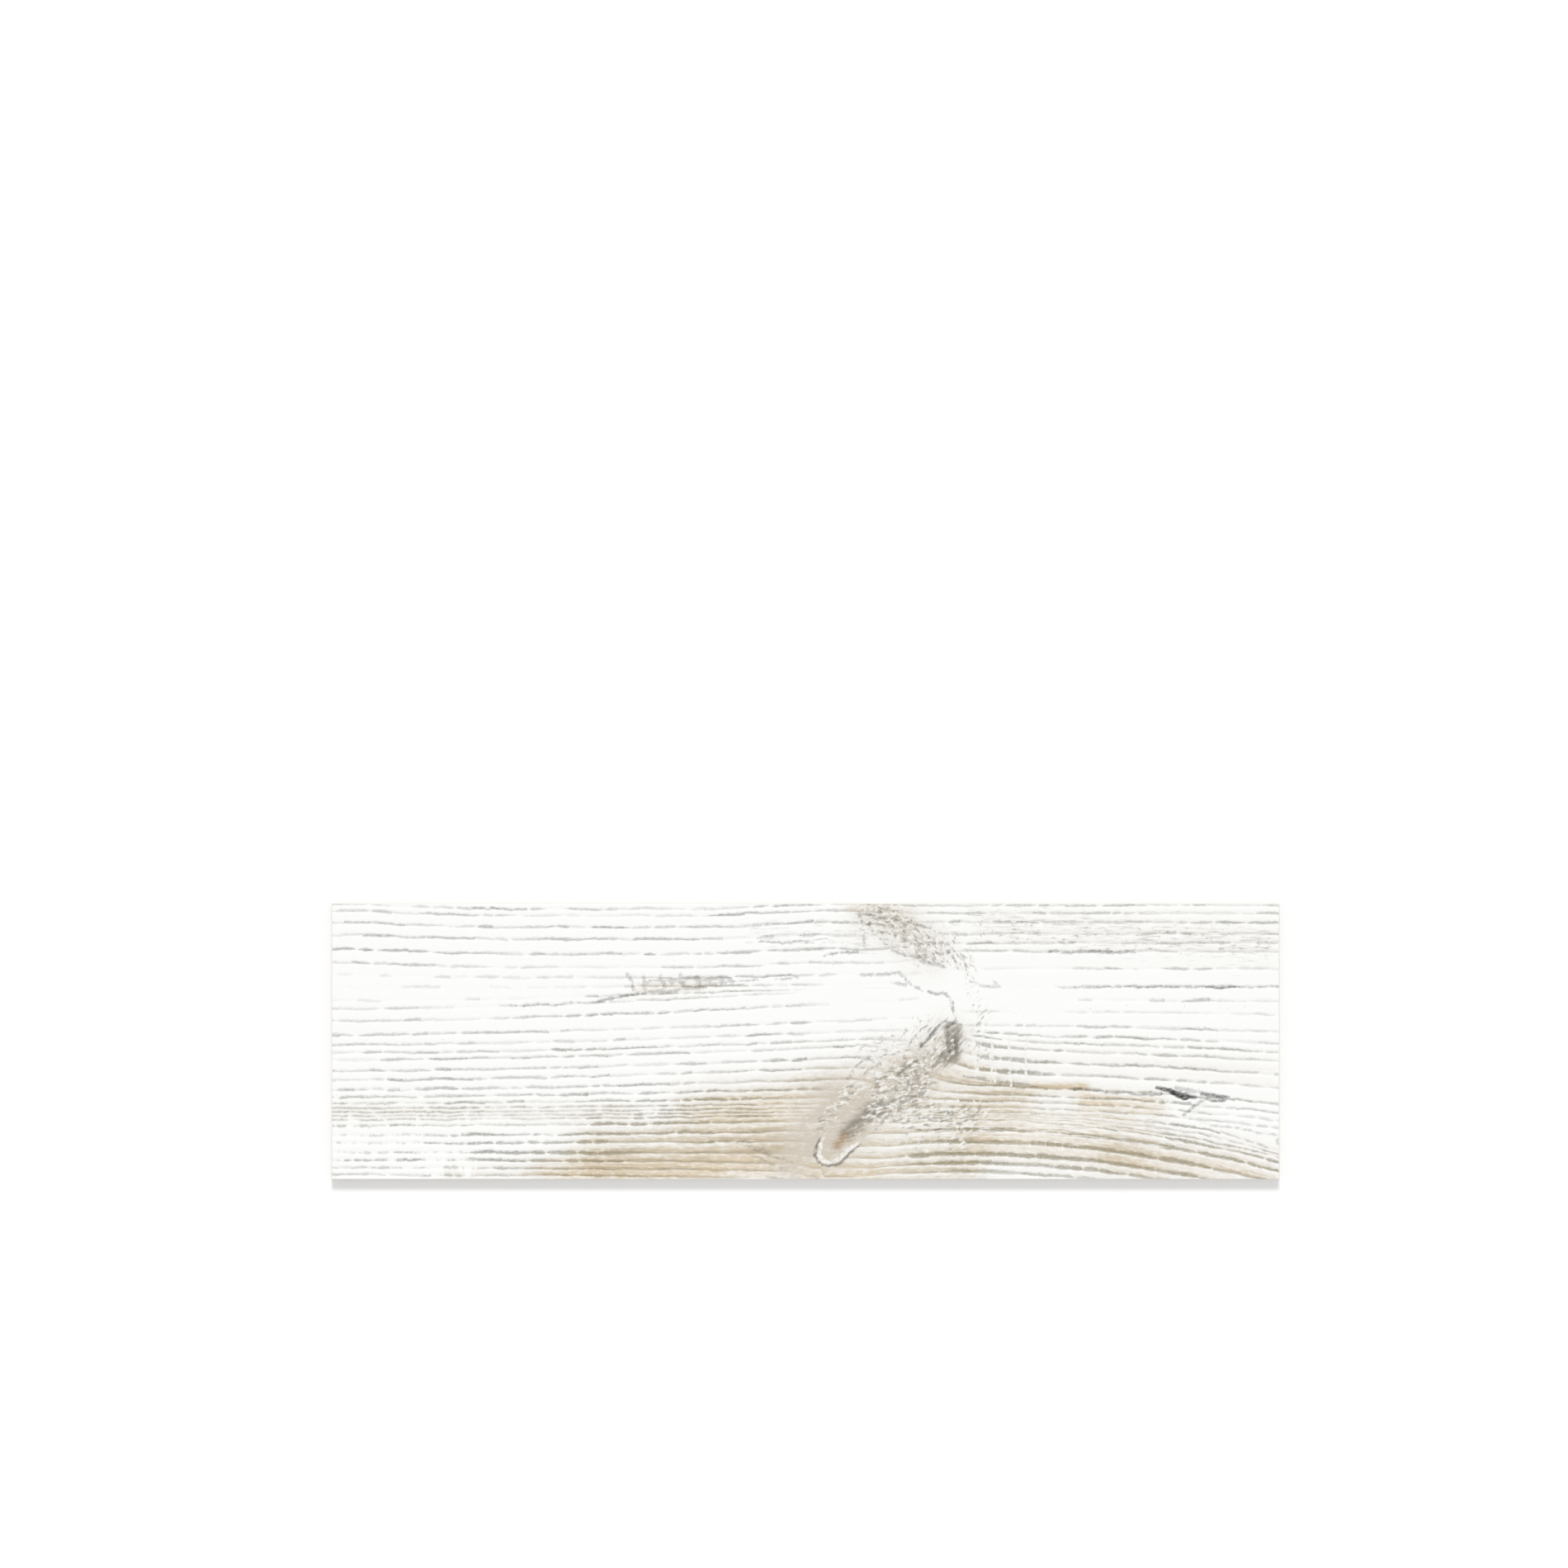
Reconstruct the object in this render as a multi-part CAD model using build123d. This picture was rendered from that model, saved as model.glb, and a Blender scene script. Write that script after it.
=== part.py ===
"""Wood-look porcelain tile: one plank, dry-pressed, fired once and ground square.

It lies face up, as on its bed of adhesive. The origin is the middle of the back's bearing plane, +X runs
along the plank and its grain, +Y across it, and +Z points out of the face. All sizes are millimetres.
"""

import os

from build123d import *

# The plank
LENGTH = 600.0
WIDTH = 175.0
THICKNESS = 8.0

# Arrises left by the grinding wheels along all four sides
FACE_ARRIS = 0.5
BACK_ARRIS = 1.0

# Key pattern that the lower punch presses into the back: square pockets with ribs between them
POCKET_PITCH = 20.0
RIB_WIDTH = 3.0
POCKET_DEPTH = 0.7
POCKET_DRAFT = 45.0
LEAST_MARGIN = 8.0

POCKET_MOUTH = POCKET_PITCH - RIB_WIDTH


def pockets_along(side):
    """How many pockets fit along one side of the back, inside its plain margin."""
    return int((side - 2 * LEAST_MARGIN + RIB_WIDTH) // POCKET_PITCH)


def ground_blank():
    """The plank as it leaves the grinding line: a square-edged slab with its arrises taken off."""
    blank = Pos(0, 0, THICKNESS / 2) * Box(LENGTH, WIDTH, THICKNESS)
    blank = chamfer(blank.faces().sort_by(Axis.Z)[-1].edges(), FACE_ARRIS)
    return chamfer(blank.faces().sort_by(Axis.Z)[0].edges(), BACK_ARRIS)


def key_pockets():
    """The shallow drafted pockets of the back, in a grid centred on it."""
    pocket = extrude(Rectangle(POCKET_MOUTH, POCKET_MOUTH), amount=POCKET_DEPTH, taper=POCKET_DRAFT)
    places = GridLocations(POCKET_PITCH, POCKET_PITCH, pockets_along(LENGTH), pockets_along(WIDTH))
    return [place * pocket for place in places]


tile = ground_blank() - key_pockets()
tile.label = "tile"

os.makedirs("parts", exist_ok=True)
export_step(tile, "parts/tile.step")
print(f"tile: {pockets_along(LENGTH)} by {pockets_along(WIDTH)} pockets, volume {tile.volume / 1000:.1f} cm3")
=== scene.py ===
# %% [markdown]
# # A wood-look porcelain tile
# A wood-look tile is one plank of porcelain stoneware. Clay powder is pressed flat in a mould, glazed white,
# printed with the grain of an old whitewashed board, fired once and ground square. Its form is plain, so the
# face carries nearly all of its character, and most of this lesson is about drawing grain.
#
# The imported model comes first. It holds the true size, and nothing made below may leave its box.

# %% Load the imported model
import math

import bmesh
import bpy
import numpy as np
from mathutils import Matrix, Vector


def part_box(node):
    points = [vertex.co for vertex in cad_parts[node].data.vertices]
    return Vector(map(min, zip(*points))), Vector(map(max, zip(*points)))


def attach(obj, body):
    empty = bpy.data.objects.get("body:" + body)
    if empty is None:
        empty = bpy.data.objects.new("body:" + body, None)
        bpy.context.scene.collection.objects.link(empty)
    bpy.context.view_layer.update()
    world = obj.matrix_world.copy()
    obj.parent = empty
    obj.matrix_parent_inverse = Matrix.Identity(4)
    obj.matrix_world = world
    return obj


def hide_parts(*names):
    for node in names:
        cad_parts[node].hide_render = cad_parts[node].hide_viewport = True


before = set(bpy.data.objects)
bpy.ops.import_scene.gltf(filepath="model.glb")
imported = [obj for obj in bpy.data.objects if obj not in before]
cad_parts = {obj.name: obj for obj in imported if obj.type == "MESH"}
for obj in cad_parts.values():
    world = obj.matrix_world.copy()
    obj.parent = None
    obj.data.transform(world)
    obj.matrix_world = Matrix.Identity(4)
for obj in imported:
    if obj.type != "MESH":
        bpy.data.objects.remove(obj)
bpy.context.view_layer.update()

MM = 0.001
lowest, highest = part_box("tile")
LENGTH, WIDTH, THICKNESS = (highest - lowest) / MM
print(f"tile: {LENGTH:.0f} x {WIDTH:.0f} x {THICKNESS:.0f} mm")

# %% [markdown]
# ## The camera
# The photo looks at the face square-on, so the camera hangs over the plank and looks straight down. A long
# lens is chosen because it keeps the four sides out of sight, as they are in the photo. Three edges of the
# face, read off in the photo's pixels, give the scale and the place of the picture's middle.

# %% Camera over the face
PHOTO_SIDE = 1900
FACE_LEFT = 401.5
FACE_RIGHT = 1550.5
FACE_TOP = 1094.4
LENS = 180.0
SENSOR = 36.0
CLIP_END = 100.0

pixel = LENGTH / (FACE_RIGHT - FACE_LEFT)
middle_x = (PHOTO_SIDE - FACE_LEFT - FACE_RIGHT) / 2 * pixel
middle_y = WIDTH / 2 + (FACE_TOP - PHOTO_SIDE / 2) * pixel
height = THICKNESS + PHOTO_SIDE * pixel * LENS / SENSOR
bpy.ops.object.camera_add(location=(middle_x * MM, middle_y * MM, height * MM), rotation=(0, 0, 0))
camera = bpy.context.object
camera.data.lens = LENS
camera.data.sensor_width = SENSOR
camera.data.clip_end = CLIP_END
bpy.context.scene.camera = camera
print(f"camera {height / 1000:.2f} m above the floor, {pixel:.3f} mm to a pixel")

# %% [markdown]
# ## Helpers for materials
# Colours are written as sRGB hex values, as they are read off a picture, and Blender's nodes want linear
# light, so one function converts them. Node trees are long to write out by hand, so one other function adds
# a node, sets it and links it in a single line. A Mix node has several sockets of each name, so its two
# colours and its result are picked by their numbers.

# %% Colour and node helpers
UNDER = 6
OVER = 7
BLEND = {"out": 2, "data_type": "RGBA"}


def linear(hex_colour):
    """An sRGB hex value as the linear RGBA that a node socket holds."""
    channels = [int(hex_colour[i:i + 2], 16) / 255 for i in (1, 3, 5)]
    return [c / 12.92 if c <= 0.04045 else ((c + 0.055) / 1.055) ** 2.4 for c in channels] + [1.0]


def put(tree, kind, sockets, out=0, **settings):
    """Adds a shader node, sets its options, fills or links its sockets, and gives one of its outputs."""
    node = tree.nodes.new("ShaderNode" + kind)
    for option, value in settings.items():
        setattr(node, option, value)
    for name, value in sockets.items():
        if isinstance(value, bpy.types.NodeSocket):
            tree.links.new(value, node.inputs[name])
        else:
            node.inputs[name].default_value = value
    return node.outputs[out]


def new_material(name):
    """An empty node material, with its tree and output node."""
    material = bpy.data.materials.new(name)
    material.use_nodes = True
    material.node_tree.nodes.clear()
    end = material.node_tree.nodes.new("ShaderNodeOutputMaterial")
    return material, material.node_tree, end


print("mid grey in linear light:", [round(channel, 3) for channel in linear("#808080")])

# %% [markdown]
# ## Studio
# A tile is photographed on white under one wide, soft light. The world gives even light from all round, and a
# sun with a broad disc comes from beyond the upper long edge, so that the lower edge lays a soft shadow.
# The floor is white to the camera and to reflections, while its matt part still takes the shadow.

# %% World and lamp
AMBIENT = 0.62
SUN_POWER = 1.52
SUN_TILT = 42
SUN_DISC = 14


def seen_directly(tree):
    """1 on rays that show the backdrop: from the camera, in a gloss or through glass. 0 on the rest."""
    path = tree.nodes.new("ShaderNodeLightPath")
    shown = put(tree, "Math", {0: path.outputs["Is Camera Ray"], 1: path.outputs["Is Glossy Ray"]},
                operation="MAXIMUM")
    return put(tree, "Math", {0: shown, 1: path.outputs["Is Transmission Ray"]}, operation="MAXIMUM")


bpy.context.scene.view_settings.view_transform = "Standard"
world = bpy.data.worlds.new("studio")
world.use_nodes = True
bpy.context.scene.world = world
background = world.node_tree.nodes["Background"]
background.inputs["Color"].default_value = (1, 1, 1, 1)
level = put(world.node_tree, "MapRange", {"Value": seen_directly(world.node_tree), "To Min": AMBIENT})
world.node_tree.links.new(level, background.inputs["Strength"])

bpy.ops.object.light_add(type="SUN", location=(0, 1, 2), rotation=(math.radians(-SUN_TILT), 0, 0))
sun = bpy.context.object
sun.data.energy = SUN_POWER
sun.data.angle = math.radians(SUN_DISC)
print("studio: ambient", AMBIENT, "and one soft sun", SUN_POWER)

# %% Floor
FLOOR_ALBEDO = 0.80
FLOOR_LIFT = 0.24
FLOOR_SIDE = 12.0
FLOOR_DROP = 0.1

bpy.ops.object.select_all(action="DESELECT")
bpy.ops.mesh.primitive_plane_add(size=FLOOR_SIDE, location=(0, 0, -FLOOR_DROP * MM))
floor = bpy.context.object
floor.name = "floor"
paper, tree, end = new_material("white_background_paper")
matt = put(tree, "BsdfDiffuse", {"Color": (FLOOR_ALBEDO, FLOOR_ALBEDO, FLOOR_ALBEDO, 1)})
lift = put(tree, "Math", {0: seen_directly(tree), 1: FLOOR_LIFT}, operation="MULTIPLY")
glow = put(tree, "Emission", {"Strength": lift})
tree.links.new(put(tree, "AddShader", {0: matt, 1: glow}), end.inputs["Surface"])
floor.data.materials.append(paper)
print("floor:", FLOOR_SIDE, "m square,", FLOOR_DROP, "mm below the tile")

# %% [markdown]
# ## The face
# The face is where the relief of the grain goes, so it starts as a fine grid inside its arrises. The cells
# are longer along the plank than across it, because grain changes slowly along its length and quickly
# across it. A sculpted mesh would give the same relief, but a grid keeps even cells and an exact edge.

# %% Face grid
FACE_ARRIS = 0.5
CELLS_ALONG = 340
CELLS_ACROSS = 238

bpy.ops.object.select_all(action="DESELECT")
bpy.ops.mesh.primitive_grid_add(
    x_subdivisions=CELLS_ALONG, y_subdivisions=CELLS_ACROSS, size=1, location=(0, 0, 0))
tile = bpy.context.object
tile.name = "wood_look_tile"
tile.data.name = "wood_look_tile"
tile.scale = ((LENGTH - 2 * FACE_ARRIS) * MM, (WIDTH - 2 * FACE_ARRIS) * MM, 1)
tile.location.z = THICKNESS * MM
bpy.ops.object.transform_apply(location=True, rotation=False, scale=True)
FACE_POINTS = len(tile.data.vertices)
print(f"face: {len(tile.data.polygons)} cells, {FACE_POINTS} points")

# %% [markdown]
# ## Arrises and sides
# After firing, grinding wheels bring the four sides square and take off their sharp edges: a fine arris at
# the face and a broader one at the back. Each is one extrusion of the open rim, moved down and scaled out or
# in to its exact size. A bevel would do as well, but here the rim gives the sizes directly.

# %% Extrude the rim down to the back
BACK_ARRIS = 1.0


def select_rim():
    """Selects the open edges of the mesh in edit mode."""
    bpy.ops.mesh.select_all(action="DESELECT")
    bpy.ops.mesh.select_mode(type="EDGE")
    mesh = bmesh.from_edit_mesh(tile.data)
    for edge in mesh.edges:
        edge.select_set(edge.is_boundary)
    bmesh.update_edit_mesh(tile.data)


def extrude_rim(down, from_inset, to_inset):
    """Extrudes the rim down by some millimetres, from one distance inside the full outline to another."""
    bpy.ops.mesh.extrude_region_move(TRANSFORM_OT_translate={"value": (0, 0, -down * MM)})
    grow = [(side - 2 * to_inset) / (side - 2 * from_inset) for side in (LENGTH, WIDTH)]
    bpy.ops.transform.resize(value=(grow[0], grow[1], 1), center_override=(0, 0, 0))


bpy.ops.object.mode_set(mode="EDIT")
select_rim()
extrude_rim(FACE_ARRIS, FACE_ARRIS, 0)
extrude_rim(THICKNESS - FACE_ARRIS - BACK_ARRIS, 0, 0)
extrude_rim(BACK_ARRIS, 0, BACK_ARRIS)
print("sides:", len(bmesh.from_edit_mesh(tile.data).faces) - CELLS_ALONG * CELLS_ACROSS, "faces")

# %% [markdown]
# ## The back
# The lower punch of the press leaves a key for the adhesive: square pockets, with ribs between them, inside
# a plain margin. A grid with one cell to a pocket is inset twice. The first inset leaves the ribs, and the
# second sinks each pocket with sloping walls, which is the draft that lets the tile leave its mould.

# %% Pockets and margin
POCKET_PITCH = 20.0
RIB_WIDTH = 3.0
POCKET_DEPTH = 0.7
LEAST_MARGIN = 8.0

pockets = [int((side - 2 * LEAST_MARGIN + RIB_WIDTH) // POCKET_PITCH) for side in (LENGTH, WIDTH)]
bpy.ops.mesh.select_all(action="DESELECT")
bpy.ops.mesh.primitive_grid_add(
    x_subdivisions=pockets[0], y_subdivisions=pockets[1], size=1, location=(0, 0, 0))
bpy.ops.transform.resize(
    value=(pockets[0] * POCKET_PITCH * MM, pockets[1] * POCKET_PITCH * MM, 1), center_override=(0, 0, 0))
bpy.ops.mesh.flip_normals()
bpy.ops.mesh.select_mode(type="FACE")
bpy.ops.mesh.inset(thickness=RIB_WIDTH / 2 * MM, use_individual=True)
bpy.ops.mesh.inset(thickness=POCKET_DEPTH * MM, depth=-POCKET_DEPTH * MM, use_individual=True)
select_rim()
bpy.ops.mesh.fill(use_beauty=True)
bpy.ops.mesh.select_all(action="SELECT")
bpy.ops.mesh.normals_make_consistent(inside=False)
open_edges = sum(not edge.is_manifold for edge in bmesh.from_edit_mesh(tile.data).edges)
bpy.ops.object.mode_set(mode="OBJECT")
print(f"back: {pockets[0]} x {pockets[1]} pockets, {open_edges} open edges in the whole tile")

# %% [markdown]
# ## How the grain runs
# A sawn board shows its growth rings as lines. They are numbered here from the upper edge down, and the
# number at any place on the face is worked out from two lists of ring widths, one for each side of the
# branch that crosses the board. A drawn picture could hold the same lines, but a formula stays sharp at any
# size and lets the relief follow the print.

# %% Ring widths and the branch
LEFT_RINGS = [4.2, 7.3, 7.8, 9.1, 8.6, 7.8, 7.8, 8.4, 5.2, 7.8, 8.6, 6.5, 5.2, 4.2, 7.0,
              6.0, 6.0, 4.4, 4.2, 3.1, 2.6, 2.3, 2.3, 3.7, 6.3, 5.0, 5.7, 4.7, 5.0, 4.4]
RIGHT_RINGS = [5.2, 5.7, 7.3, 5.8, 5.2, 11.0, 11.5, 8.3, 7.8, 9.4, 6.8, 4.7, 5.2, 7.6, 7.6,
               8.9, 5.2, 4.2, 4.1, 4.2, 2.4, 2.3, 2.1, 6.0, 8.1, 7.8, 5.8, 5.7, 5.8, 5.7]
FIRST_LEFT = 0.8
FIRST_RIGHT = 1.4
BRANCH_ROUTE = [(7, -88), (15, -77), (44, -43), (75, -15), (93, 11), (80, 43), (65, 66), (44, 88)]


def ease(value, start, end):
    """Rises smoothly from 0 at start to 1 at end, and stays level outside them."""
    share = np.clip((value - start) / (end - start), 0, 1)
    return share * share * (3 - 2 * share)


def past_branch(x, y):
    """Distance along the board from the branch's middle line: negative to its left, positive to its right."""
    route_x, route_y = zip(*BRANCH_ROUTE)
    return x - np.interp(y, route_y, route_x)


def count_rings(depth, first, widths):
    """Ring number at a depth below the upper edge, where no bend has moved the rings."""
    lines = first + np.concatenate(([0.0], np.cumsum(widths)))
    inside = np.interp(depth, lines, np.arange(len(lines), dtype=float))
    above = np.minimum(depth - lines[0], 0) / widths[0]
    below = np.maximum(depth - lines[-1], 0) / widths[-1]
    return inside + above + below


print(f"{len(LEFT_RINGS)} rings left of the branch, {len(RIGHT_RINGS)} right of it")

# %% [markdown]
# Bends carry the rings away from their level places. On the left they lift towards the branch and then hook
# down beside it. On the right they rise to it and fan out downwards. Each bend sets in and ends between two
# depths below the upper edge, in millimetres.

# %% Bends left of the branch
LEFT_END = -300
LEFT_NEAR = -8
LIFT_CURVE = 1.7
MIDDLE_LIFT = 7.0
ARCH_LIFT = 6.0
ARCH_DEPTH = 67
ARCH_REACH = 10
LOW_LIFT = 2.6
FOOT_DROP = 4.6
UPPER_FALL = 3.0
LEFT_HOOK = 13.0
LEFT_HOOK_FROM = 8
LEFT_HOOK_REACH = 11


def left_bend(x, y, depth):
    """How far below its place at the left end a ring runs."""
    progress = np.clip((x - LEFT_END) / (LEFT_NEAR - LEFT_END), 0, None) ** LIFT_CURVE
    plateau = MIDDLE_LIFT * ease(depth, 48, 80) * (1 - ease(depth, 112, 132))
    arch = ARCH_LIFT * np.exp(-((depth - ARCH_DEPTH) / ARCH_REACH) ** 2)
    low = LOW_LIFT * ease(depth, 112, 132) - FOOT_DROP * ease(depth, 145, 165)
    fall = UPPER_FALL * ease(x, LEFT_END, -190) * (1 - ease(x, -70, 10)) * (1 - ease(depth, 35, 58))
    hook_depth = ease(depth, 80, 105) * (1 - 0.75 * ease(depth, 122, 145))
    near = np.exp(np.minimum(past_branch(x, y) + LEFT_HOOK_FROM, 0) / LEFT_HOOK_REACH)
    return fall + LEFT_HOOK * near * hook_depth - (plateau + arch + low) * progress


print("rings lift by up to", MIDDLE_LIFT + ARCH_LIFT, "mm and hook by", LEFT_HOOK, "mm on the left")

# %% Bends right of the branch
UPPER_FAN = 3.6
FAN_GROWTH = 0.12
FOOT_FAN = 10.6
FAN_FROM = 96
FAN_LENGTH = 104
FAN_EASE = 2.8
RIGHT_HOOK = 11.0
RIGHT_HOOK_FROM = 6
RIGHT_HOOK_REACH = 24
FOOT_DIP = 3.2
FOOT_DIP_FROM = 30
FOOT_DIP_REACH = 20


def right_bend(x, y, depth):
    """How far below its place at mid-right a ring runs."""
    fan = UPPER_FAN * ease(depth, 55, 85) + FAN_GROWTH * np.clip(depth - 85, 0, 48)
    fan = fan + FOOT_FAN * ease(depth, 132, 145)
    sweep = ((np.clip(x - FAN_FROM, 0, None) / FAN_LENGTH) ** 2 - 1) / FAN_EASE
    hook_depth = ease(depth, 78, 95) * (1 - ease(depth, 112, 138))
    hook = RIGHT_HOOK * np.exp(-np.maximum(past_branch(x, y) - RIGHT_HOOK_FROM, 0) / RIGHT_HOOK_REACH)
    dip = FOOT_DIP * np.exp(-np.maximum(past_branch(x, y) - FOOT_DIP_FROM, 0) / FOOT_DIP_REACH)
    return fan * sweep - hook * hook_depth + dip * ease(depth, 136, 148)


print("rings rise by up to", RIGHT_HOOK, "mm beside the branch on the right")

# %% [markdown]
# A bend depends on the ring's own depth, which is what is sought, so the depth is guessed and corrected a few
# times. The two sides then meet in a seam along the branch, narrow at its foot and wide above it.

# %% Ring numbers over the face
CORRECTIONS = 5
SEAM = 4
SEAM_WIDENING = 22
STEP = 0.2
LEAST_SLOPE = 0.05


def grain_at(x, y):
    """Ring number and unbent depth at a place. Each whole ring number is one dark line of late wood."""
    depth = WIDTH / 2 - y
    left = right = depth
    for _ in range(CORRECTIONS):
        left = depth - left_bend(x, y, left)
        right = depth - right_bend(x, y, right)
    seam = SEAM + SEAM_WIDENING * ease(y, 12, 45)
    share = ease(past_branch(x, y) / seam, -1, 1)
    left_ring = count_rings(left, FIRST_LEFT, LEFT_RINGS)
    right_ring = count_rings(right, FIRST_RIGHT, RIGHT_RINGS)
    return left_ring + share * (right_ring - left_ring), left + share * (right - left)


points = np.empty(len(tile.data.vertices) * 3, dtype=np.float32)
tile.data.vertices.foreach_get("co", points)
points = points.reshape(-1, 3).astype(float) / MM
face_x = points[:FACE_POINTS, 0]
face_y = points[:FACE_POINTS, 1]

ring, flow_depth = grain_at(face_x, face_y)
slope_x = (grain_at(face_x + STEP, face_y)[0] - grain_at(face_x - STEP, face_y)[0]) / (2 * STEP)
slope_y = (grain_at(face_x, face_y + STEP)[0] - grain_at(face_x, face_y - STEP)[0]) / (2 * STEP)
ring_width = 1 / np.maximum(np.hypot(slope_x, slope_y), LEAST_SLOPE)
print(f"rings {ring.min():.1f} to {ring.max():.1f}, {ring_width.min():.1f} to {ring_width.max():.1f} mm wide")

# %% [markdown]
# ## Where the board is worn, stained and knotted
# Whitewash wears unevenly: some rings show strongly, others are buried in white. Resin and weather stain the
# wood around the branch, and the knots are speckled. Each of these is a soft patch round a short line on the
# face. Weight painting would place them too, but a list of patches can be read and changed.
#
# A patch is two points, a reach around the line between them, and an amount. The lengths are millimetres, and
# the points are measured from the middle of the face.

# %% Ink of the rings
INK_BASE = 0.85


def patches(table):
    """Adds up soft patches over the points of the face."""
    total = np.zeros_like(face_x)
    for x0, y0, x1, y1, reach, amount in table:
        run = np.array((x1 - x0, y1 - y0), dtype=float)
        share = np.clip(((face_x - x0) * run[0] + (face_y - y0) * run[1]) / (run @ run), 0, 1)
        gap = np.hypot(face_x - x0 - share * run[0], face_y - y0 - share * run[1])
        total += amount * np.exp(-(gap / reach) ** 2)
    return total


ink = INK_BASE + patches([
    # buried rings: at the left, in the bare field between the knots, and at the right
    (-300, 34, -150, 32, 12, -0.70),
    (-300, 72, -60, 70, 28, -0.10),
    (15, 28, 150, 27, 19, -0.75),
    (150, 22, 300, 20, 11, -0.35),
    (110, 75, 290, 60, 20, -0.12),
    # broad rows right of the branch, and the hidden rings among them
    (110, -68, 230, -74, 18, 0.50),
    (240, -76, 295, -82, 14, 0.25),
    (104, -4, 140, -18, 13, 0.60),
    (100, -50, 215, -51, 5, -0.60),
    (84, -57, 135, -58, 6, 0.35),
    (74, -71, 120, -76, 9, 0.40),
    # brown rows at the lower left, and the chipped corner
    (-205, -70, -115, -72, 9, 0.30),
    (-130, -52, -40, -46, 16, 0.25),
    (-290, -72, -225, -74, 14, 0.05),
    # no rings in the branch, the knots and the smooth wood beside them
    (22, -62, 88, 0, 16, -1.30),
    (48, 80, 88, 56, 12, -0.60),
    (-8, -68, 8, -48, 13, -1.00),
    (20, -84, 48, -76, 10, -0.90),
])
print(f"ink from {ink.min():.2f} to {ink.max():.2f}")

# %% Stain
stain = patches([
    # the wedge left of the branch, and a faint band at its left
    (-165, -84, -60, -82, 12, 0.70),
    (-225, -84, -165, -84, 8, 0.30),
    (-130, -70, -20, -64, 17, 0.95),
    (-70, -44, -6, -36, 15, 0.65),
    (-30, -68, 12, -64, 17, 0.70),
    (-300, -45, -110, -45, 6, 0.30),
    # under and right of the branch, and between the broad rows
    (15, -30, 70, -32, 16, 0.75),
    (40, -58, 100, -52, 18, 0.80),
    (10, -86, 100, -80, 13, 0.90),
    (80, -14, 130, -36, 14, 0.75),
    (110, -58, 200, -64, 20, 0.66),
    (120, -30, 176, -28.5, 4, 0.50),
    (200, -70, 290, -84, 16, 0.66),
    # two bands of fresh wood
    (178, -37.5, 222, -40.5, 8, 0.48),
    (147, -28.4, 174, -28.9, 2.5, 0.40),
    # the upper knot and the pointed arch
    (32, 87, 64, 77, 6, 0.75),
    (-105, 33, -60, 37, 4, 0.50),
    # faint tints
    (120, 72, 290, 64, 16, 0.15),
    (110, -8, 290, -20, 12, 0.15),
])
warmth = patches([
    (-150, -84, -10, -80, 14, 0.90),
    (178, -37.5, 222, -40.5, 8, 0.80),
    (140, -28.4, 176, -28.9, 4, 0.70),
    (5, -82, 40, -84, 8, 0.60),
    (-60, -48, -10, -42, 12, 0.60),
    (110, -50, 180, -54, 16, 0.40),
    (120, -68, 270, -80, 14, 0.45),
])
print(f"stain over {np.mean(stain > 0.5):.0%} of the face")

# %% Knotwood, heart and dusk
knotwood = patches([
    (24, -40, 60, -26, 18, 0.75),
    (60, -26, 90, 2, 12, 0.70),
    (16, -70, 34, -48, 11, 0.80),
    (-8, -74, 12, -48, 14, 0.80),
    (44, 80, 76, 60, 14, 0.55),
])
heart = patches([(20, -66, 24.5, -60, 2.8, 0.7)])
dusk = patches([
    (90, 10, 92, -10, 6, 0.62),
    (97, 8, 96, -8, 5, 0.50),
    (26, -58, 42, -44, 8, 0.78),
    (48, -42, 72, -28, 6, 0.46),
    (60, -22, 84, -14, 8, 0.50),
    (54, 73, 76, 60, 12, 0.42),
])
print(f"knots over {np.mean(knotwood > 0.5):.0%} of the face")

# %% [markdown]
# The finer textures have patches of their own: the speckle of the knots, thin grey and white threads along
# the grain, and the flakes of whitewash that still hold. Speckle is capped, because where its patches overlap
# it would close up into plain grey.

# %% Patches of texture
SPECKLE_MOST = 0.84

speckle = patches([
    (46, -27, 90, -4, 15, 0.75),
    (44, 80, 82, 58, 18, 0.92),
    (66, -48, 108, -46, 16, 0.82),
    (50, -44, 78, -26, 8, 0.40),
    (40, -76, 100, -66, 11, 0.45),
    (34, -6, 76, 12, 12, 0.62),
    (8, -56, 28, -30, 7, 0.78),
    (30, -58, 50, -40, 9, 0.58),
    (104, 48, 112, -10, 9, 0.60),
    (-25, 72, 30, 60, 8, 0.45),
    (116, 72, 290, 62, 18, 0.62),
    (120, 18, 290, 22, 9, 0.42),
])
speckle = np.minimum(speckle, SPECKLE_MOST)
dark_thread = patches([
    (-300, 0, 300, 0, 200, 0.25),
    (110, 78, 290, 62, 20, 0.32),
    (-110, -66, -30, -58, 18, 0.25),
    (-30, 70, 40, 62, 14, 0.30),
    (110, -50, 230, -62, 22, 0.28),
    (-8, -72, 4, -50, 11, -0.50),
])
pale_thread = patches([
    (-150, -60, -20, -58, 18, 0.32),
    (-80, -74, -30, -66, 14, 0.15),
    (60, -50, 230, -60, 22, 0.55),
    (-8, -72, 4, -50, 11, -0.50),
])
flake = patches([
    (-300, 0, 300, 0, 200, 0.30),
    (-300, -60, -220, -76, 17, 0.46),
    (-250, -46, -160, -46, 6, 0.20),
])
print(f"speckle over {np.mean(speckle > 0.3):.0%} of the face")
print(f"white threads over {np.mean(pale_thread > 0.3):.0%} of the face")

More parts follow.
